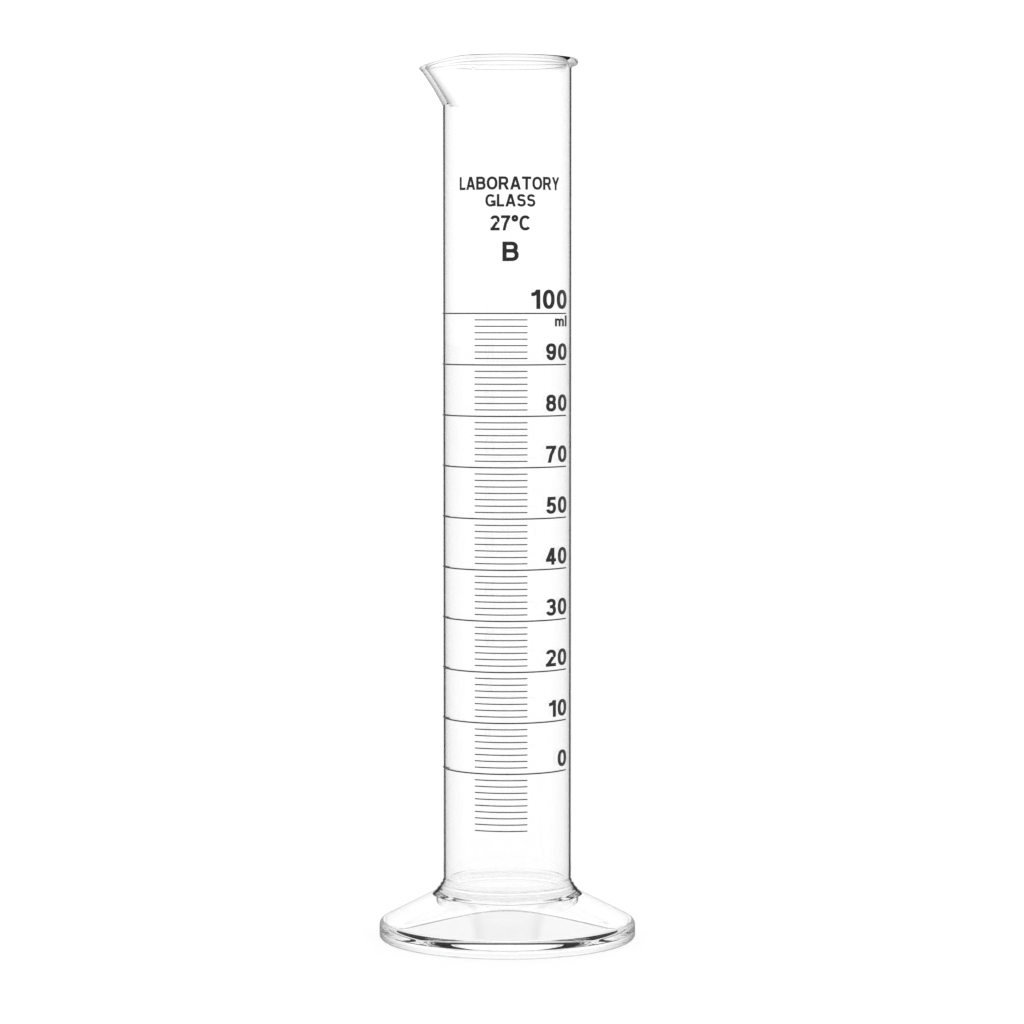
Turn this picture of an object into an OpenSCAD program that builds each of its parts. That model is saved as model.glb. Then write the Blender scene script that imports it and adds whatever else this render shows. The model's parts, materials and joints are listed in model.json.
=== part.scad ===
// Graduated cylinder, 100 ml, clear glass with a round foot.
// Millimetres, +Z up, origin at the centre of the circle that the foot stands on.
// The pouring spout points along -X and the printed scale faces -Y.

/* [Barrel] */
// Volume that the barrel holds up to the top line, in millilitres
capacity_ml = 100; // [60:5:110]
// Outside diameter of the barrel
barrel_d = 32.6; // [31:0.1:34]
// Thickness of the barrel's wall
wall = 1.5; // [1.2:0.1:1.8]
// Height of the whole cylinder
overall_h = 223; // [215:1:240]
// Height of the inner floor above the surface that the foot stands on
floor_z = 13.6; // [13:0.1:15]
// Radius of the corner between the inner floor and the wall
floor_corner_r = 1.2; // [0.8:0.2:5]

/* [Rim] */
// Radius of the bend that turns the wall outwards at the rim
rim_bend_r = 1.6; // [1.4:0.1:3]
// Angle that the wall is turned outwards through, in degrees
rim_turn = 85; // [40:1:88]
// Radius of the rim's fire-polished edge
rim_edge_r = 0.85; // [0.75:0.05:1]

/* [Spout] */
// Angle from the middle of the spout to each of its sides, in degrees
spout_half_angle = 58; // [40:1:70]
// Height of the stretch of wall that is pulled out into the spout
spout_h = 11.8; // [8:0.2:16]
// How far the wall is pulled out by the time it reaches the rim's height
spout_reach = 6.6; // [3:0.1:7]
// How far the tip is pulled down
spout_drop = 1.3; // [0:0.1:2]

/* [Foot] */
// Diameter of the foot
foot_d = 65.2; // [58:0.1:72]
// Height of the foot's upper face, which carries the barrel
foot_h = 11.3; // [10:0.1:12.5]
// Height of the foot's thick edge
foot_edge_h = 5; // [4:0.1:5.5]
// Width of the ring that touches the surface
foot_ring_w = 2.2; // [1.5:0.1:3]
// Height of the hollow's flat top above the surface
hollow_top_z = 9.2; // [6:0.1:9.7]
// Height of the hollow's upright side above the surface
hollow_side_h = 0.6; // [0.5:0.05:3]

/* [Collar] */
// Height of the fused collar between the foot and the barrel
collar_h = 4.1; // [3:0.1:7]
// Diameter of the collar where it meets the foot
collar_d = 38.2; // [36:0.2:40]
// Number of ripples round the collar
collar_ripples = 4; // [2:1:5]
// Height of each ripple above the collar's slope
ripple_h = 0.1; // [0.06:0.02:0.3]

/* [Scale] */
// Number of long lines
line_count = 10; // [2:1:10]
// Distance from one long line to the next
line_pitch = 12.79; // [8:0.01:13.2]
// Number of short lines between two long ones
ticks_between = 7; // [1:1:9]
// Number of short lines below the lowest long one
ticks_below = 9; // [0:1:12]
// Thickness of a long line
line_t = 0.32; // [0.2:0.01:0.5]
// Thickness of a short line
tick_t = 0.26; // [0.2:0.01:0.4]
// How far the enamel stands proud of the glass
enamel_t = 0.08; // [0.05:0.01:0.15]
// Left end of a long line, in degrees from the front
line_left = -88; // [-120:1:-40]
// Right end of a long line, in degrees from the front
line_right = 64.5; // [20:0.5:90]
// Left end of a short line, in degrees from the front
tick_left = -29.7; // [-60:0.1:-5]
// Right end of a short line, in degrees from the front
tick_right = 18; // [5:0.1:60]

/* [Hidden] */
$fn = 180;

GLASS = [0.86, 0.93, 0.95, 0.4];
ENAMEL = [0.1, 0.1, 0.11];

barrel_r = barrel_d / 2;
bore_r = barrel_r - wall;
foot_r = foot_d / 2;
collar_r = collar_d / 2;

// The bend at the rim starts here, and the spout's pulled wall starts below it.
bend_z = overall_h - rim_bend_r * sin(rim_turn) - rim_edge_r;
spout_z = overall_h - spout_h;

// The rounded floor corner takes a little volume away, which the top line makes up for.
bore_area = PI * pow(bore_r, 2);
corner_volume = 2 * PI * (1 - PI / 4) * pow(floor_corner_r, 2) * (bore_r - 0.22 * floor_corner_r);
top_line_z = floor_z + (capacity_ml * 1000 + corner_volume) / bore_area;
tick_pitch = line_pitch / (ticks_between + 1);
low_line_z = top_line_z - (line_count - 1) * line_pitch;

// Arc of n steps round the centre c, from angle a0 to angle a1.
function along(a, b, share) = a + (b - a) * share;
function heading(a) = [cos(a), sin(a)];
function arc(c, r, a0, a1, n) = [for (i = [0:n]) c + r * heading(along(a0, a1, i / n))];

// ---- Rim section: the wall's middle line bends outwards and its half thickness grows to the edge.
bend_steps = 7;
edge_steps = 6;
function bend_middle(turn) =
    [bore_r + wall / 2 + rim_bend_r * (1 - cos(turn)), bend_z + rim_bend_r * sin(turn)];
function bend_side(turn, share, side) =
    bend_middle(turn * share) + side * along(wall / 2, rim_edge_r, share) * heading(180 - turn * share);

// Closed outline of the wall above the height low_z, bent outwards through the angle turn.
function rim_section(low_z, low_steps, turn) = concat(
    [for (i = [0:low_steps - 1]) [bore_r, along(low_z, bend_z, i / low_steps)]],
    [for (i = [0:bend_steps]) bend_side(turn, i / bend_steps, 1)],
    [for (i = [1:edge_steps - 1])
        bend_middle(turn) + rim_edge_r * heading(180 - turn - 180 * i / edge_steps)],
    [for (i = [bend_steps:-1:0]) bend_side(turn, i / bend_steps, -1)],
    [for (i = [low_steps - 1:-1:0]) [barrel_r, along(low_z, bend_z, i / low_steps)]]
);

// ---- Spout: the same section, bent less and pulled out most at the middle of the spout.
notch_margin = 1;
spout_steps = 28;
spout_low_steps = 7;
spout_turn_loss = 0.75;
spout_pull_power = 1.05;
spout_width_power = 1.2;
function pull_share(a) = (1 + cos(180 * a / spout_half_angle)) / 2;
function pull_lift(z) = pow(max(0, z - spout_z) / spout_h, spout_pull_power);
function pulled(p, a) = [
    p[0] + spout_reach * pow(pull_share(a), spout_width_power) * pull_lift(p[1]),
    p[1] - spout_drop * pull_share(a) * pow(pull_lift(p[1]), 2)
];
function turned(p, a) = [-p[0] * cos(a), p[0] * sin(a), p[1]];
function spout_ring(a) = [
    for (p = rim_section(spout_z, spout_low_steps, rim_turn * (1 - spout_turn_loss * pull_share(a))))
        turned(pulled(p, a), a)
];

// ---- Foot: a cone with a thick rounded edge and a hollow underside.
edge_round_r = 1.0;
hollow_r = foot_r - edge_round_r - foot_ring_w;
hollow_corner_r = 1.4;
shoulder_r = 1.7;
cone_angle = atan2(foot_h - foot_edge_h, foot_r - edge_round_r - collar_r);
hollow_corner = arc([hollow_r - hollow_corner_r, hollow_side_h], hollow_corner_r, 90 - cone_angle, 0, 6);
hollow_top_r = hollow_corner[0][0] - (hollow_top_z - hollow_corner[0][1]) / tan(cone_angle);
function foot_section() = concat(
    [[0, foot_h], [0, hollow_top_z], [hollow_top_r, hollow_top_z]],
    hollow_corner,
    [[hollow_r, 0]],
    arc([foot_r - edge_round_r, edge_round_r], edge_round_r, -90, 0, 8),
    arc([foot_r - shoulder_r, foot_edge_h - shoulder_r], shoulder_r, 0, 90 - cone_angle, 8),
    [[collar_r, foot_h]]
);

// ---- Collar: a flare from the barrel out to the foot with soft ripples along it.
collar_steps = 36;
collar_flare_power = 1.6;
function collar_flare(s) = along(barrel_r, collar_r, pow(1 - s, collar_flare_power));
function collar_ripple(s) = ripple_h * pow(sin(180 * collar_ripples * s), 2);
function collar_edge(s) = [collar_flare(s) + collar_ripple(s), foot_h + collar_h * s];

module glass() {
    color(GLASS) children();
}

// Part of a turn of the 2D shape children(), from one angle to another, where the front is 0.
module turn_from_front(from, to) {
    rotate([0, 0, from - 90])
        rotate_extrude(angle = to - from)
            children();
}

// Closed drawn tube with its rounded floor, notched where the spout takes over.
module barrel() {
    glass()
        difference() {
            rotate_extrude()
                polygon(concat(
                    [[0, foot_h], [barrel_r, foot_h], [barrel_r, bend_z], [bore_r, bend_z]],
                    arc([bore_r - floor_corner_r, floor_z + floor_corner_r], floor_corner_r, 0, -90, 8),
                    [[0, floor_z]]
                ));
            translate([0, 0, spout_z])
                turn_from_front(-90 - spout_half_angle, -90 + spout_half_angle)
                    square([barrel_r + notch_margin, overall_h]);
        }
}

// Flared, fire-polished rim, everywhere but at the spout.
module rim_lip() {
    glass()
        turn_from_front(-90 + spout_half_angle, 270 - spout_half_angle)
            polygon(rim_section(bend_z, 1, rim_turn));
}

// Pouring lip, pulled out of the wall.
module pouring_spout() {
    rings = [for (i = [0:spout_steps]) spout_ring(spout_half_angle * (1 - 2 * i / spout_steps))];
    count = len(rings[0]);
    points = [for (ring = rings) each ring];
    sides = [
        for (i = [0:spout_steps - 1], j = [0:count - 1])
            let (k = (j + 1) % count)
            each [
                [i * count + j, i * count + k, (i + 1) * count + j],
                [i * count + k, (i + 1) * count + k, (i + 1) * count + j]
            ]
    ];
    // Each end is a strip of quads between the section's inner side and its outer side.
    ends = [
        for (first = [0, spout_steps * count], j = [0:(count - 3) / 2])
            let (a = first + j, b = first + count - 1 - j, flip = first == 0)
            each [
                flip ? [a + 1, a, b] : [a, a + 1, b],
                if (a + 1 != b - 1) flip ? [a + 1, b, b - 1] : [a + 1, b - 1, b]
            ]
    ];
    glass()
        polyhedron(points, concat(sides, ends), convexity = 6);
}

// Rippled ring of glass that fuses the barrel to the foot.
module stem_collar() {
    glass()
        rotate_extrude()
            polygon(concat(
                [[barrel_r, foot_h]],
                [for (i = [0:collar_steps]) collar_edge(i / collar_steps)]
            ));
}

// Pressed foot.
module foot() {
    glass()
        rotate_extrude()
            polygon(foot_section());
}

// One fired enamel line round part of the barrel.
module enamel_line(z, thick, left, right) {
    color(ENAMEL)
        turn_from_front(left, right)
            translate([barrel_r, z - thick / 2])
                square([enamel_t, thick]);
}

module long_lines() {
    for (i = [0:line_count - 1])
        enamel_line(low_line_z + i * line_pitch, line_t, line_left, line_right);
}

module short_lines() {
    for (i = [0:line_count - 2], j = [1:ticks_between])
        enamel_line(low_line_z + i * line_pitch + j * tick_pitch, tick_t, tick_left, tick_right);
    for (j = [1:1:ticks_below])
        enamel_line(low_line_z - j * tick_pitch, tick_t, tick_left, tick_right);
}

barrel();
rim_lip();
pouring_spout();
stem_collar();
foot();
long_lines();
short_lines();
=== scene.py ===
"""Looks of the graduated cylinder: clear glass pieces, the fired scale with its figures, a bright studio."""

import json
import math

import bmesh
import bpy
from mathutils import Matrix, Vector
from mathutils.geometry import delaunay_2d_cdt


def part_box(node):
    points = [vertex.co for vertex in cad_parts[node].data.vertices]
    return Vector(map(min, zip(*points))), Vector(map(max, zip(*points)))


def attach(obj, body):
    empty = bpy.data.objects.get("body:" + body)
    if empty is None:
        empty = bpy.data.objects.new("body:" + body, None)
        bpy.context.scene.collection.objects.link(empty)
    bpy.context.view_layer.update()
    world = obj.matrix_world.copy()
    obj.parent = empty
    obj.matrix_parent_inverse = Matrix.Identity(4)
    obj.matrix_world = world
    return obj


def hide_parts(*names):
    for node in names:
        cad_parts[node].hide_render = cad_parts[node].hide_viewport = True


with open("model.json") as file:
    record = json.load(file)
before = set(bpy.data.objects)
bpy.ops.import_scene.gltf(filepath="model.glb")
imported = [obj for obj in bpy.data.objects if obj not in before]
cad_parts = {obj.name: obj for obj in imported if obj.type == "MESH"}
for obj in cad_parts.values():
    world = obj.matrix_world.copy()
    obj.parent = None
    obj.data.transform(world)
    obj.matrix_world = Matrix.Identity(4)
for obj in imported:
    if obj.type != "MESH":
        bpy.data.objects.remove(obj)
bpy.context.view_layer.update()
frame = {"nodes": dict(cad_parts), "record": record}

MM = 0.001
MERGE_DISTANCE = 0.002 * MM

# ---------------------------------------------------------------- sizes, in millimetres
def node_box(node):
    """Lowest and highest corner of a CAD node, in millimetres."""
    low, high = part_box(node)
    return low / MM, high / MM


mounts = {m["name"]: m for m in frame["record"]["mounts"]}
BORE_R = mounts["barrel_bore"]["dims"]["r_mm"]
BARREL_R = mounts["barrel_grip"]["dims"]["r_mm"]
BEND_Z = node_box("barrel")[1].z
OVERALL_H = node_box("rim_lip")[1].z
SPOUT_Z = node_box("pouring_spout")[0].z
FOOT_R = node_box("foot")[1].x
FOOT_H = node_box("foot")[1].z
COLLAR_TOP = node_box("stem_collar")[1].z
WALL = BARREL_R - BORE_R

FLOOR_Z = 13.6
FLOOR_CORNER_R = 1.2
RIM_BEND_R = 1.6
RIM_TURN = math.radians(85)
RIM_EDGE_R = 0.85
SPOUT_HALF = math.radians(58)
SPOUT_REACH = 6.6
SPOUT_DROP = 1.3
SPOUT_TURN_LOSS = 0.75
SPOUT_PULL_POWER = 1.05
SPOUT_WIDTH_POWER = 1.2
COLLAR_R = 19.1
COLLAR_FLARE_POWER = 1.6
COLLAR_RIPPLES = 4
RIPPLE_H = 0.1
FOOT_EDGE_H = 5.0
HOLLOW_TOP_Z = 9.2
HOLLOW_SIDE_H = 0.6
EDGE_ROUND_R = 1.0
SHOULDER_R = 1.7
FOOT_RING_W = 2.2
HOLLOW_CORNER_R = 1.4

SEGMENTS = 288
SPOUT_AZIMUTH = math.pi


# ---------------------------------------------------------------- camera
CAMERA_PLACE = Vector((0.0012, -0.8854, 0.1594))
CAMERA_TILT = math.radians(3.28)
CAMERA_LENS = 122.9


def make_camera():
    data = bpy.data.cameras.new("camera")
    data.lens = CAMERA_LENS
    data.clip_end = 20.0
    camera = bpy.data.objects.new("camera", data)
    bpy.context.scene.collection.objects.link(camera)
    ahead = Vector((0.0, math.cos(CAMERA_TILT), -math.sin(CAMERA_TILT)))
    camera.location = CAMERA_PLACE
    camera.rotation_mode = "QUATERNION"
    camera.rotation_quaternion = ahead.to_track_quat("-Z", "Y")
    bpy.context.scene.camera = camera


# ---------------------------------------------------------------- profiles
def along(a, b, share):
    return a + (b - a) * share


def arc(cx, cz, r, start, end, steps):
    """Points round (cx, cz), from one angle in degrees to another."""
    turns = [math.radians(along(start, end, i / steps)) for i in range(steps + 1)]
    return [(cx + r * math.cos(t), cz + r * math.sin(t)) for t in turns]


def line(a, b, steps):
    """Points from a up to, and without, b."""
    return [(along(a[0], b[0], i / steps), along(a[1], b[1], i / steps)) for i in range(steps)]


def rim_section(low_z, low_steps, turn):
    """The wall's inner side upwards, round the edge and down its outer side, bent outwards by an angle."""
    bend_steps, edge_steps = 16, 14

    def middle(angle):
        return BORE_R + WALL / 2 + RIM_BEND_R * (1 - math.cos(angle)), BEND_Z + RIM_BEND_R * math.sin(angle)

    def side(share, sign):
        half = sign * along(WALL / 2, RIM_EDGE_R, share)
        r, z = middle(turn * share)
        return r - half * math.cos(turn * share), z + half * math.sin(turn * share)

    inner = line((BORE_R, low_z), (BORE_R, BEND_Z), low_steps) if low_steps else []
    outer = line((BARREL_R, low_z), (BARREL_R, BEND_Z), low_steps)[::-1] if low_steps else []
    inner += [side(i / bend_steps, 1) for i in range(bend_steps + 1)]
    outer = [side(i / bend_steps, -1) for i in range(bend_steps, -1, -1)] + outer
    degrees = math.degrees(turn)
    edge = arc(*middle(turn), RIM_EDGE_R, 180 - degrees, -degrees, edge_steps)[1:-1]
    return inner + edge + outer


def bore_floor():
    """From the middle of the inner floor out to the bore."""
    floor = line((0, FLOOR_Z), (BORE_R - FLOOR_CORNER_R, FLOOR_Z), 12)
    corner = arc(BORE_R - FLOOR_CORNER_R, FLOOR_Z + FLOOR_CORNER_R, FLOOR_CORNER_R, -90, 0, 14)
    return floor + corner


def collar_section():
    steps = 72
    out = []
    for i in range(steps + 1):
        s = i / steps
        ripple = RIPPLE_H * math.sin(math.pi * COLLAR_RIPPLES * s) ** 2
        flare = along(BARREL_R, COLLAR_R, (1 - s) ** COLLAR_FLARE_POWER)
        out.append((flare + ripple, along(FOOT_H, COLLAR_TOP, s)))
    return out


def foot_sections():
    """The foot's outline in three stretches, from the middle of its hollow underside outwards.

    They are the underside, then the standing ring with the edge, then the cone up to the collar."""
    slope = math.degrees(math.atan2(FOOT_H - FOOT_EDGE_H, FOOT_R - EDGE_ROUND_R - COLLAR_R))
    hollow_r = FOOT_R - EDGE_ROUND_R - FOOT_RING_W
    corner = arc(hollow_r - HOLLOW_CORNER_R, HOLLOW_SIDE_H, HOLLOW_CORNER_R, 90 - slope, 0, 14)
    top = corner[0][0] - (HOLLOW_TOP_Z - corner[0][1]) / math.tan(math.radians(slope)), HOLLOW_TOP_Z
    under = line((0, HOLLOW_TOP_Z), top, 14) + line(top, corner[0], 16) + corner
    under += line(corner[-1], (hollow_r, 0), 6)[1:] + [(hollow_r, 0)]
    ring = line((hollow_r, 0), (FOOT_R - EDGE_ROUND_R, 0), 6)
    edge = arc(FOOT_R - EDGE_ROUND_R, EDGE_ROUND_R, EDGE_ROUND_R, -90, 0, 14)
    shoulder = arc(FOOT_R - SHOULDER_R, FOOT_EDGE_H - SHOULDER_R, SHOULDER_R, 0, 90 - slope, 16)
    cone = line(shoulder[-1], (COLLAR_R, FOOT_H), 24) + [(COLLAR_R, FOOT_H)]
    return under, ring + edge + shoulder, cone


# ---------------------------------------------------------------- meshes
def new_piece(name, points, faces, strips, materials):
    """A closed glass piece from points in millimetres. Each face has the (number, slot) of its strip.

    Points that coincide are merged, and the shading stays sharp where two strips meet."""
    mesh = bpy.data.meshes.new(name)
    mesh.from_pydata([Vector(p) * MM for p in points], [], faces)
    for material in materials:
        mesh.materials.append(material)
    mesh.polygons.foreach_set("material_index", [slot for _, slot in strips])
    mesh.polygons.foreach_set("use_smooth", [True] * len(faces))
    body = bmesh.new()
    body.from_mesh(mesh)
    number = body.faces.layers.int.new("strip")
    body.faces.ensure_lookup_table()
    for face, (strip, _) in zip(body.faces, strips):
        face[number] = strip
    bmesh.ops.remove_doubles(body, verts=body.verts, dist=MERGE_DISTANCE)
    for edge in body.edges:
        edge.smooth = len({face[number] for face in edge.link_faces}) == 1
    body.to_mesh(mesh)
    body.free()
    piece = bpy.data.objects.new(name, mesh)
    bpy.context.scene.collection.objects.link(piece)
    return piece


OUTER, INNER, SEAM, CONE = 0, 1, 2, 3


def sweep(strips, azimuths, place, closed):
    """Points, faces and marks of strips that place(point, azimuth) carries round the axis.

    A strip is a list of (r, z) with its material slot. With the glass on an outline's right hand,
    going along it, the faces look out of the glass."""
    points, faces, marks = [], [], []
    for strip, (outline, slot) in enumerate(strips):
        first, count = len(points), len(outline)
        for a in azimuths:
            points += [place(p, a) for p in outline]
        rounds = len(azimuths) if closed else len(azimuths) - 1
        for i in range(rounds):
            near, far = first + i * count, first + (i + 1) % len(azimuths) * count
            for j in range(count - 1):
                faces.append((near + j, near + j + 1, far + j + 1, far + j))
                marks.append((strip, slot))
    return points, faces, marks


def turned(p, azimuth):
    return p[0] * math.cos(azimuth), p[0] * math.sin(azimuth), p[1]


def part_turn(start, end, steps):
    return [along(start, end, i / steps) for i in range(steps + 1)]


def end_cap(section, azimuth, place, flip):
    """The flat seam across a wall's section, between its inner and its outer side. flip turns it round."""
    points = [place(p, azimuth) for p in section]
    last = len(section) - 1
    faces = []
    for j in range(len(section) // 2):
        a, b = j, last - j
        if a + 1 < b - 1:
            faces.append((a, b, b - 1, a + 1))
        elif a + 1 == b - 1:
            faces.append((a, b, a + 1))
    if flip:
        faces = [f[::-1] for f in faces]
    return points, faces, [(0, SEAM)] * len(faces)


def joined(*parts):
    """Parts as one, whose strips are numbered on from part to part."""
    points, faces, marks = [], [], []
    first_strip = 0
    for some_points, some_faces, some_marks in parts:
        shift = len(points)
        points += some_points
        faces += [tuple(i + shift for i in f) for f in some_faces]
        marks += [(strip + first_strip, slot) for strip, slot in some_marks]
        first_strip = max(strip for strip, _ in marks) + 1
    return points, faces, marks


def pull_share(turn):
    return (1 + math.cos(math.pi * turn / SPOUT_HALF)) / 2


def pulled(p, azimuth):
    """A point of the spout's wall, pulled out and down around the spout's azimuth."""
    share = pull_share(azimuth - SPOUT_AZIMUTH)
    lift = (max(0.0, p[1] - SPOUT_Z) / (OVERALL_H - SPOUT_Z)) ** SPOUT_PULL_POWER
    r = p[0] + SPOUT_REACH * share ** SPOUT_WIDTH_POWER * lift
    return turned((r, p[1] - SPOUT_DROP * share * lift * lift), azimuth)


SPOUT_START = SPOUT_AZIMUTH - SPOUT_HALF
SPOUT_END = SPOUT_AZIMUTH + SPOUT_HALF
NOTCH_STEPS = 120


def spout_turn():
    return part_turn(SPOUT_START, SPOUT_END, NOTCH_STEPS)


def rest_turn():
    return part_turn(SPOUT_END, SPOUT_START + 2 * math.pi, SEGMENTS - NOTCH_STEPS)


def full_turn():
    return spout_turn() + rest_turn()[1:-1]


def make_barrel(materials):
    """The closed tube: bore, outside and base all round, then the wall beside the spout's notch."""
    rows, notch_rows = 40, 10
    rise = [(BORE_R, z) for z in part_turn(FLOOR_Z + FLOOR_CORNER_R, SPOUT_Z, rows)][1:]
    outside = [(BARREL_R, z) for z in part_turn(SPOUT_Z, COLLAR_TOP, rows)]
    fused_end = [(BARREL_R, COLLAR_TOP), (BARREL_R, FOOT_H), (0, FOOT_H)]
    low = sweep(
        [(bore_floor() + rise, INNER), (outside, OUTER), (fused_end, SEAM)],
        full_turn(), turned, True,
    )
    inner_top = [(BORE_R, z) for z in part_turn(SPOUT_Z, BEND_Z, notch_rows)]
    outer_top = [(BARREL_R, z) for z in part_turn(BEND_Z, SPOUT_Z, notch_rows)]
    beside = sweep(
        [(inner_top, INNER), ([inner_top[-1], outer_top[0]], SEAM), (outer_top, OUTER)],
        rest_turn(), turned, False,
    )
    notch = sweep([([inner_top[0], outer_top[-1]], SEAM)], spout_turn(), turned, False)
    section = inner_top + outer_top
    ends = end_cap(section, SPOUT_END, turned, False), end_cap(section, SPOUT_START, turned, True)
    return new_piece("barrel_glass", *joined(low, beside, notch, *ends), materials)


def make_rim(materials):
    section = rim_section(BEND_Z, 0, RIM_TURN)
    body = sweep([(section, OUTER), ([section[-1], section[0]], SEAM)], rest_turn(), turned, False)
    ends = end_cap(section, SPOUT_END, turned, False), end_cap(section, SPOUT_START, turned, True)
    return new_piece("rim_glass", *joined(body, *ends), materials)


def make_spout(materials):
    low_steps = 24
    azimuths = spout_turn()
    sections = [
        rim_section(SPOUT_Z, low_steps, RIM_TURN * (1 - SPOUT_TURN_LOSS * pull_share(a - SPOUT_AZIMUTH)))
        for a in azimuths
    ]
    count = len(sections[0])
    points = [pulled(p, a) for section, a in zip(sections, azimuths) for p in section]
    faces = []
    for i in range(NOTCH_STEPS):
        near, far = i * count, (i + 1) * count
        faces += [(near + j, near + j + 1, far + j + 1, far + j) for j in range(count - 1)]
    body = points, faces, [(0, OUTER)] * len(faces)
    base = sweep([([sections[0][-1], sections[0][0]], SEAM)], azimuths, turned, False)
    ends = (
        end_cap(sections[0], azimuths[0], pulled, False),
        end_cap(sections[-1], azimuths[-1], pulled, True),
    )
    return new_piece("spout_glass", *joined(body, base, *ends), materials)


def make_collar(materials):
    strips = [
        (collar_section()[::-1], OUTER),
        ([(COLLAR_R, FOOT_H), (BARREL_R, FOOT_H)], SEAM),
        ([(BARREL_R, FOOT_H), (BARREL_R, COLLAR_TOP)], SEAM),
    ]
    return new_piece("collar_glass", *sweep(strips, full_turn(), turned, True), materials)


def make_foot(materials):
    under, edge, cone = foot_sections()
    strips = [
        (under[::-1], INNER),
        (edge[::-1], OUTER),
        (cone[::-1], CONE),
        ([(0, FOOT_H), (COLLAR_R, FOOT_H)], SEAM),
    ]
    return new_piece("foot_glass", *sweep(strips, full_turn(), turned, True), materials)


# ---------------------------------------------------------------- printed marks
PEN = 0.19
HALF_PEN = PEN / 2
ROUND_POWER = 0.87
ENAMEL_LIFT = 0.004
ENAMEL_T = 0.07
BAND_W = 0.4


def bar(x0, y0, x1, y1):
    """Straight stroke with square ends."""
    length = math.hypot(x1 - x0, y1 - y0)
    dx, dy = (y0 - y1) / length * HALF_PEN, (x1 - x0) / length * HALF_PEN
    return [[(x0 - dx, y0 - dy), (x1 - dx, y1 - dy), (x1 + dx, y1 + dy), (x0 + dx, y0 + dy)]]


def leg(x0, y0, x1, y1):
    """Slanted stroke, drawn upwards, whose ends are level."""
    half = HALF_PEN * math.hypot(x1 - x0, y1 - y0) / (y1 - y0)
    return [[(x0 - half, y0), (x0 + half, y0), (x1 + half, y1), (x1 - half, y1)]]


def bow(cx, cy, rx, ry, start, end):
    """Round stroke from one angle to another, in degrees."""
    steps = max(6, round(abs(end - start) / 10))

    def place(angle):
        c, s = math.cos(angle), math.sin(angle)
        return (
            cx + rx * math.copysign(abs(c) ** ROUND_POWER, c),
            cy + ry * math.copysign(abs(s) ** ROUND_POWER, s),
        )

    sides = []
    for i in range(steps + 1):
        angle = math.radians(along(start, end, i / steps))
        nudge = math.radians(math.copysign(4, end - start))
        (ax, ay), (bx, by) = place(angle - nudge), place(angle + nudge)
        length = math.hypot(bx - ax, by - ay)
        dx, dy = (ay - by) / length * HALF_PEN, (bx - ax) / length * HALF_PEN
        x, y = place(angle)
        sides.append(((x - dx, y - dy), (x + dx, y + dy)))
    return [[a[0], b[0], b[1], a[1]] for a, b in zip(sides, sides[1:])]


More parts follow.
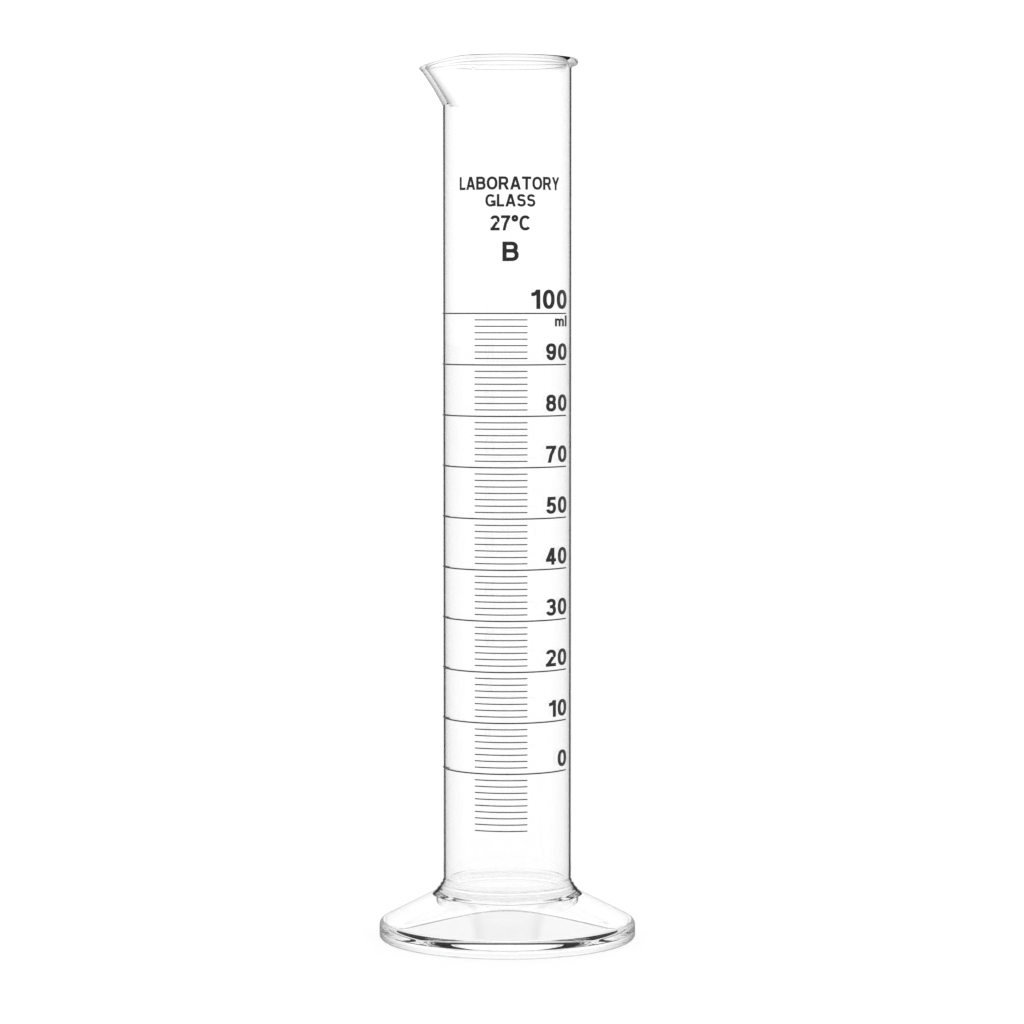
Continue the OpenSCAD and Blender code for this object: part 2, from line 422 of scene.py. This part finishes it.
def make_glyphs():
    """Each mark's width and strokes, for a height of 1."""
    h, top, waist = HALF_PEN, 1 - HALF_PEN, 0.53
    w = 0.62
    mid, rx = w / 2, w / 2 - h
    high_y, high_ry = (top + waist) / 2, (top - waist) / 2
    low_y, low_ry = (waist + h) / 2, (waist - h) / 2

    def stem_and_bowl(y):
        """The upright of a B or an R, with the bowl that comes back to it at the height y."""
        upright = bar(h, 0, h, 1) + bar(0, top, 0.4, top) + bar(0, y, 0.4, y)
        return upright + bow(0.4, (top + y) / 2, 0.3 - h, (top - y) / 2, 90, -90)

    return {
        "0": (w, bow(mid, 0.5, rx, 0.5 - h, 0, 360)),
        "1": (0.43, bar(0.43 - h, 0, 0.43 - h, 1) + bow(0.0, 1.0, 0.3, 0.25, -90, -4)),
        "2": (w, bow(mid, 0.7, rx, 0.3 - h, 170, -32) + leg(1.15 * h, h, w - 1.7 * h, 0.58)
              + bar(0, h, w, h)),
        "3": (w, bow(mid, high_y, rx - 0.02, high_ry, 165, -90) + bow(mid, low_y, rx, low_ry, 90, -165)
              + bar(0.24, waist, mid, waist)),
        "4": (w, bar(w - 0.2, 0, w - 0.2, 1) + bar(0, 0.28, w, 0.28)
              + leg(h, 0.28, w - 0.2 - 0.3 * h, 1)),
        "5": (w, bar(0.1, top, w - 0.03, top) + leg(0.06 + h, 0.42, 0.1 + h, 1)
              + bow(mid, 0.335, rx, 0.335 - h, 140, -165)),
        "7": (w, bar(0, top, w, top) + leg(0.3, 0.45, w - 1.1 * h, top) + leg(0.2, 0, 0.3, 0.45)),
        "8": (w, bow(mid, high_y, rx - 0.02, high_ry, 0, 360) + bow(mid, low_y, rx, low_ry, 0, 360)),
        "9": (w, bow(mid, 0.68, rx, 0.32 - h, 0, 360) + bow(mid, 0.5, rx, 0.5 - h, 0, -160)
              + bar(w - h, 0.5, w - h, 0.7)),
        "L": (0.56, bar(h, 0, h, 1) + bar(0, h, 0.56, h)),
        "T": (0.7, bar(0, top, 0.7, top) + bar(0.35, 0, 0.35, 1)),
        "Y": (0.76, bar(0.38, 0, 0.38, 0.45) + leg(0.38, 0.4, 0.76 - h, 1) + leg(0.38, 0.4, h, 1)),
        "A": (0.78, leg(h, 0, 0.39 - 0.2 * h, 1) + leg(0.78 - h, 0, 0.39 + 0.2 * h, 1)
              + bar(0.2, 0.29, 0.58, 0.29)),
        "O": (0.8, bow(0.4, 0.5, 0.4 - h, 0.5 - h, 0, 360)),
        "C": (0.76, bow(0.4, 0.5, 0.4 - h, 0.5 - h, 40, 320)),
        "G": (0.8, bow(0.4, 0.5, 0.4 - h, 0.5 - h, 42, 318) + bar(0.8 - h, 0.04, 0.8 - h, 0.5)
              + bar(0.44, 0.5 - h, 0.8, 0.5 - h)),
        "S": (0.68, bow(0.34, high_y, 0.32 - h, high_ry, 15, 270)
              + bow(0.34, low_y, 0.34 - h, low_ry, 90, -165)),
        "m": (0.95, bar(h, 0, h, 0.72) + bar(0.475, 0, 0.475, 0.5) + bar(0.95 - h, 0, 0.95 - h, 0.5)
              + bow(0.475 / 2 + h / 2, 0.48, 0.475 / 2 - h / 2, 0.24 - h, 180, 0)
              + bow(0.475 * 1.5 - h / 2, 0.48, 0.475 / 2 - h / 2, 0.24 - h, 180, 0)),
        "l": (PEN, bar(h, 0, h, 1)),
        "°": (0.42, bow(0.21, 0.8, 0.13, 0.13, 0, 360)),
        "B": (0.74, stem_and_bowl(waist) + bar(0, h, 0.4, h) + bow(0.4, low_y, 0.34 - h, low_ry, 90, -90)),
        "R": (0.74, stem_and_bowl(0.46) + leg(0.74 - h, 0, 0.42, 0.46)),
    }


GLYPHS = make_glyphs()


def text_width(text, gap):
    """A text's width for a height of 1, with a gap between marks."""
    return sum(GLYPHS[c][0] for c in text) + gap * (len(text) - 1)


def set_text(text, size, gap, start, baseline, place):
    """One list of quads for each mark, on the barrel's unrolled surface.

    place turns a distance along the plain text, counted from start, into a distance round the barrel."""
    out = []
    for c in text:
        width, quads = GLYPHS[c]
        out.append([[(place(start + x * size), baseline + y * size) for x, y in quad] for quad in quads])
        start += (width + gap) * size
    return out


def fused(quads):
    """Triangles of the area that the quads cover, cut into upright bands so that they can be bent."""
    points = [p for quad in quads for p in quad]
    faces = [[4 * i + j for j in range(4)] for i in range(len(quads))]
    low = min(p[0] for p in points), min(p[1] for p in points)
    high = max(p[0] for p in points), max(p[1] for p in points)
    edges = []
    for i in range(math.ceil(low[0] / BAND_W), math.floor(high[0] / BAND_W) + 1):
        edges.append((len(points), len(points) + 1))
        points += [(i * BAND_W, low[1] - BAND_W), (i * BAND_W, high[1] + BAND_W)]
    flat = [Vector(p) for p in points]
    verts, _, tris, _, _, sources = delaunay_2d_cdt(flat, edges, faces, 0, 1e-5, True)
    return verts, [tri for tri, source in zip(tris, sources) if source]


def on_barrel(p, r):
    azimuth = p[0] / BARREL_R
    return r * math.sin(azimuth), -r * math.cos(azimuth), p[1]


def make_print(name, marks, material):
    """Enamel marks with a real thickness, bent round the barrel's front."""
    low_r, high_r = BARREL_R + ENAMEL_LIFT, BARREL_R + ENAMEL_LIFT + ENAMEL_T
    points, faces = [], []
    for quads in marks:
        verts, tris = fused(quads)
        first, count = len(points), len(verts)
        points += [on_barrel(v, high_r) for v in verts] + [on_barrel(v, low_r) for v in verts]
        open_edges = {}
        for tri in tris:
            faces.append([first + i for i in tri])
            faces.append([first + count + i for i in reversed(tri)])
            for a, b in zip(tri, [*tri[1:], tri[0]]):
                if open_edges.pop((b, a), None) is None:
                    open_edges[a, b] = True
        for a, b in open_edges:
            faces.append([first + b, first + a, first + count + a, first + count + b])
    mesh = bpy.data.meshes.new(name)
    mesh.from_pydata([Vector(p) * MM for p in points], [], faces)
    mesh.materials.append(material)
    body = bmesh.new()
    body.from_mesh(mesh)
    bmesh.ops.delete(body, geom=[v for v in body.verts if not v.link_faces], context="VERTS")
    body.to_mesh(mesh)
    body.free()
    piece = bpy.data.objects.new(name, mesh)
    bpy.context.scene.collection.objects.link(piece)
    return piece


# ---------------------------------------------------------------- materials
BOROSILICATE_IOR = 1.474
# The lip and the spout bend light less than glass does, which keeps their edges from going black.
LIP_IOR = 1.06
# The share of light that each surface lets through to the floor.
FLOOR_LIGHT = 0.965

# Painted shade: how dark each edge is painted, by how far the surface turns away from the eye. A near-black
# diffuse is mixed in there for the dark surroundings that real glass bends and mirrors.
TUBE_EDGE_SHADE = [
    (0.25, 0.0), (0.42, 0.05), (0.5, 0.09), (0.58, 0.15), (0.65, 0.25),
    (0.71, 0.36), (0.76, 0.95), (0.83, 0.95), (0.89, 0.2), (1.0, 0.1),
]
LIP_EDGE_SHADE = [(0.2, 0.0), (0.5, 0.18), (0.8, 0.55), (1.0, 0.7)]
SPOUT_EDGE_SHADE = [(0.35, 0.0), (0.6, 0.2), (0.75, 0.5), (0.9, 0.65), (1.0, 0.6)]
FOOT_EDGE_SHADE = [(0.3, 0.0), (0.6, 0.25), (0.85, 0.6), (1.0, 0.75)]
CONE_EDGE_SHADE = [(0.4, 0.0), (0.65, 0.04), (0.86, 0.1), (0.95, 0.3), (1.0, 0.5)]
INSIDE_EDGE_SHADE = [(0.9, 0.0), (1.0, 0.2)]


def grey(value):
    return value, value, value, 1


def new_material(name):
    """A material, its node tree and the socket for its surface."""
    material = bpy.data.materials.new(name)
    material.use_nodes = True
    tree = material.node_tree
    tree.nodes.clear()
    out = tree.nodes.new("ShaderNodeOutputMaterial")
    return material, tree, out.inputs["Surface"]


def add_node(tree, kind, values=None):
    """A node, with the values of some of its inputs."""
    node = tree.nodes.new(kind)
    for name, value in (values or {}).items():
        node.inputs[name].default_value = value
    return node


def add_ramp(tree, factor, stops):
    """The colour of a ramp of greys, whose stops are a position and a grey."""
    ramp = tree.nodes.new("ShaderNodeValToRGB")
    elements = ramp.color_ramp.elements
    while len(elements) < len(stops):
        elements.new(1.0)
    for element, (position, value) in zip(elements, stops):
        element.position = position
        element.color = grey(value)
    tree.links.new(factor, ramp.inputs["Fac"])
    return ramp.outputs["Color"]


def mixed(tree, share, first, second):
    """A Mix Shader of two shader outputs."""
    mix = tree.nodes.new("ShaderNodeMixShader")
    for socket, source in zip(mix.inputs, (share, first, second)):
        tree.links.new(source, socket)
    return mix.outputs[0]


def painted_edge_shade(tree, shade_stops):
    """The share of painted shade, a near-black diffuse, that a surface takes by its turn from the eye, on
    the faces that look at it.
    """
    weight = add_node(tree, "ShaderNodeLayerWeight", {"Blend": 0.5})
    edge = add_ramp(tree, weight.outputs["Facing"], shade_stops)
    side = tree.nodes.new("ShaderNodeNewGeometry")
    front = add_node(tree, "ShaderNodeMath", {0: 1.0})
    front.operation = "SUBTRACT"
    tree.links.new(side.outputs["Backfacing"], front.inputs[1])
    shade_share = tree.nodes.new("ShaderNodeMath")
    shade_share.operation = "MULTIPLY"
    tree.links.new(edge, shade_share.inputs[0])
    tree.links.new(front.outputs[0], shade_share.inputs[1])
    return shade_share.outputs[0]


def glass_material(name, shade_stops, ior=BOROSILICATE_IOR):
    """Clear glass with faint cords in its melt, and painted dark edges as glass shows before a bright card:
    a near-black diffuse mixed in by the surface's turn from the eye.
    """
    material, tree, surface = new_material(name)
    values = {"Transmission Weight": 1.0, "Roughness": 0.0, "IOR": ior}
    glass = add_node(tree, "ShaderNodeBsdfPrincipled", values)
    cords = add_node(tree, "ShaderNodeTexNoise", {"Scale": 60.0, "Detail": 2.0})
    tint = add_ramp(tree, cords.outputs["Fac"], [(0.3, 0.975), (0.7, 1.0)])
    tree.links.new(tint, glass.inputs["Base Color"])
    # Painted shade: a near-black diffuse that darkens the glass towards its edges.
    edge = add_node(tree, "ShaderNodeBsdfDiffuse", {"Color": (0.012, 0.013, 0.014, 1)})
    seen = mixed(tree, painted_edge_shade(tree, shade_stops), glass.outputs[0], edge.outputs[0])
    # Light on its way to the floor goes straight through.
    path = tree.nodes.new("ShaderNodeLightPath")
    clear = add_node(tree, "ShaderNodeBsdfTransparent", {"Color": grey(FLOOR_LIGHT)})
    for ray in ("Is Diffuse Ray", "Is Shadow Ray"):
        seen = mixed(tree, path.outputs[ray], seen, clear.outputs[0])
    tree.links.new(seen, surface)
    return material


def seam_material():
    """The fused joint between two pieces of glass, which bends and mirrors nothing."""
    material, tree, surface = new_material("fused_seam")
    tree.links.new(tree.nodes.new("ShaderNodeBsdfTransparent").outputs["BSDF"], surface)
    return material


def enamel_material():
    """Fired black enamel with a fine grain."""
    material, tree, surface = new_material("black_enamel")
    shader = add_node(tree, "ShaderNodeBsdfPrincipled", {"Roughness": 0.4, "Specular IOR Level": 0.2})
    noise = add_node(tree, "ShaderNodeTexNoise", {"Scale": 2500.0, "Detail": 3.0})
    grain = add_ramp(tree, noise.outputs["Fac"], [(0.3, 0.008), (0.7, 0.022)])
    tree.links.new(grain, shader.inputs["Base Color"])
    tree.links.new(shader.outputs["BSDF"], surface)
    return material


def floor_material():
    material, tree, surface = new_material("pale_floor")
    shader = add_node(tree, "ShaderNodeBsdfDiffuse", {"Color": grey(0.95)})
    tree.links.new(shader.outputs["BSDF"], surface)
    return material


# ---------------------------------------------------------------- studio
def make_floor():
    half = 15.0
    corners = [(-half, -half, 0), (half, -half, 0), (half, half, 0), (-half, half, 0)]
    mesh = bpy.data.meshes.new("floor")
    mesh.from_pydata(corners, [], [(0, 1, 2, 3)])
    mesh.materials.append(floor_material())
    floor = bpy.data.objects.new("floor", mesh)
    bpy.context.scene.collection.objects.link(floor)


STUDIO_LIGHT = 1.08
GLASS_BOUNCES = 24
# Light that is mirrored more often than this inside the glass is lost, which leaves dark streaks in
# the foot's thick edge.
MIRROR_BOUNCES = 8


def make_world():
    """A bright white studio, and enough bounces for light to get through the glass."""
    scene = bpy.context.scene
    world = bpy.data.worlds.new("studio")
    world.use_nodes = True
    back = world.node_tree.nodes["Background"]
    back.inputs["Color"].default_value = grey(1)
    back.inputs["Strength"].default_value = STUDIO_LIGHT
    scene.world = world
    scene.view_settings.view_transform = "Standard"
    scene.cycles.max_bounces = GLASS_BOUNCES
    scene.cycles.glossy_bounces = MIRROR_BOUNCES
    scene.cycles.transmission_bounces = GLASS_BOUNCES


# ---------------------------------------------------------------- build
make_camera()
make_world()
make_floor()

seam = seam_material()
# Each glass material paints its edges dark with a near-black diffuse, by its edge-shade stops.
inside_glass = glass_material("clear_glass_inside", INSIDE_EDGE_SHADE)
tube_glass = [glass_material("clear_glass_tube", TUBE_EDGE_SHADE), inside_glass, seam]
lip_glass = [glass_material("clear_glass_lip", LIP_EDGE_SHADE, LIP_IOR), inside_glass, seam]
spout_glass = [glass_material("clear_glass_spout", SPOUT_EDGE_SHADE, LIP_IOR), inside_glass, seam]
foot_glass = [
    glass_material("clear_glass_foot", FOOT_EDGE_SHADE),
    inside_glass,
    seam,
    glass_material("clear_glass_cone", CONE_EDGE_SHADE),
]
GLASS_PIECES = {
    "barrel": (make_barrel, tube_glass),
    "rim_lip": (make_rim, lip_glass),
    "pouring_spout": (make_spout, spout_glass),
    "stem_collar": (make_collar, tube_glass),
    "foot": (make_foot, foot_glass),
}
for node, (make, glasses) in GLASS_PIECES.items():
    piece = make(glasses)
    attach(piece, "root")
    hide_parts(node)

enamel = enamel_material()
for node in ("long_lines", "short_lines"):
    for slot in frame["nodes"][node].material_slots:
        slot.material = enamel

# The figure on each long line, from the top down, as the scale runs.
FIGURES = ["100", "90", "80", "70", "50", "40", "30", "20", "10", "0"]
TOP_FIGURE_H = 4.83
FIGURE_H = 4.25
FIGURE_GAP = 0.13
FIGURE_RIGHT = math.radians(65.5)
FIGURE_RISE = 1.1
ROUND_STRETCH = 1.34
FLAT_STRETCH = 0.95
lines_low, lines_high = node_box("long_lines")
LINE_T = 0.32
line_pitch = (lines_high.z - lines_low.z - LINE_T) / (len(FIGURES) - 1)


def line_z(i):
    return lines_high.z - LINE_T / 2 - i * line_pitch


def figure_place(x):
    """Where the figures' stencil puts a point at a distance x from its right edge.

    The stencil is half wrapped round the barrel and half flat."""
    wrapped = FIGURE_RIGHT + x * ROUND_STRETCH / BARREL_R
    flat = math.asin(math.sin(FIGURE_RIGHT) + x * FLAT_STRETCH / BARREL_R)
    return (wrapped + flat) / 2 * BARREL_R


def figure_text(text, size, baseline):
    return set_text(text, size, FIGURE_GAP, -text_width(text, FIGURE_GAP) * size, baseline, figure_place)


def figure_marks():
    out = []
    for i, text in enumerate(FIGURES):
        out += figure_text(text, TOP_FIGURE_H if i == 0 else FIGURE_H, line_z(i) + FIGURE_RISE)
    return out


UNIT_H = 2.75
UNIT_DROP = 0.5


def unit_marks():
    return figure_text("ml", UNIT_H, line_z(0) - UNIT_DROP - UNIT_H)


# Each line's text, height, stretch and baseline.
LEGEND = [
    ("LABORATORY", 3.25, 1.05, 189.6),
    ("GLASS", 3.1, 1.06, 185.4),
    ("27°C", 3.75, 1.0, 179.5),
    ("B", 4.85, 1.13, 171.9),
]
LEGEND_GAP = 0.09
LEGEND_MIDDLE = math.radians(3.0) * BARREL_R


def legend_marks():
    out = []
    for text, size, stretch, baseline in LEGEND:
        half = text_width(text, LEGEND_GAP) * size / 2
        out += set_text(text, size, LEGEND_GAP, -half, baseline, lambda x: LEGEND_MIDDLE + x * stretch)
    return out


PRINTS = {"scale_figures": figure_marks, "unit_mark": unit_marks, "legend": legend_marks}
for name, marks in PRINTS.items():
    piece = make_print(name, marks(), enamel)
    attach(piece, "root")
